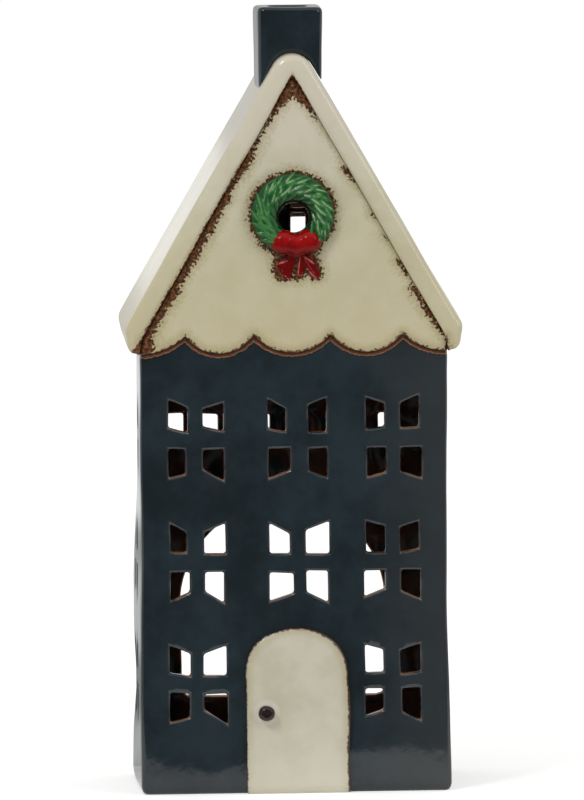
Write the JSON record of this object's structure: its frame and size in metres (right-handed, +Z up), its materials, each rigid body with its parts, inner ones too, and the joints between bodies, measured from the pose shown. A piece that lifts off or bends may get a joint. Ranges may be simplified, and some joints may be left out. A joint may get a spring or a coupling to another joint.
{
  "type": "tealight house",
  "caption": "Tall narrow glazed ceramic house for a tealight: cut-out paned windows, steep roof with scalloped gables, chimney, arched door relief, wreath with a bow, arched opening behind.",
  "frame": {"origin": "middle of the base's underside", "axes": "+Z up along the height, the front with the door faces -Y, +X is the house's right as seen from the front"},
  "size_m": [0.1334, 0.0947, 0.3102],
  "materials": {
    "teal_glaze": "dark blue-teal glossy glaze on earthenware",
    "cream_glaze": "cream glossy glaze, toasted brown where it breaks in grooves and on edges",
    "green_glaze": "green glossy glaze, paler where it breaks on edges",
    "red_glaze": "red glossy glaze",
    "brown_glaze": "dark brown glossy glaze",
    "aluminium_foil": "drawn thin aluminium cup",
    "paraffin_wax": "white paraffin wax",
    "cotton_wick": "waxed braided cotton",
    "tinned_steel": "pressed tinned steel"
  },
  "bodies": {
    "house": {"floor_slab": "teal_glaze", "front_wall": "teal_glaze", "back_wall": "teal_glaze", "left_wall": "teal_glaze", "right_wall": "teal_glaze", "left_roof_slab": "cream_glaze", "right_roof_slab": "cream_glaze", "front_gable_panel": "cream_glaze", "back_gable_panel": "cream_glaze", "chimney": "teal_glaze", "door_panel": "cream_glaze", "door_knob": "brown_glaze", "wreath": "green_glaze", "bow_loops": "red_glaze", "bow_knot": "red_glaze", "bow_tails": "red_glaze"},
    "tealight": {"tealight_cup": "aluminium_foil", "tealight_wax": "paraffin_wax", "tealight_wick": "cotton_wick", "wick_sustainer": "tinned_steel"}
  },
  "joints": [
    {"name": "tealight_lift_out", "type": "slide", "parent": "house", "child": "tealight", "axis": [0, 0.7314, 0.682], "range_m": [0, 0.104]}
  ]
}
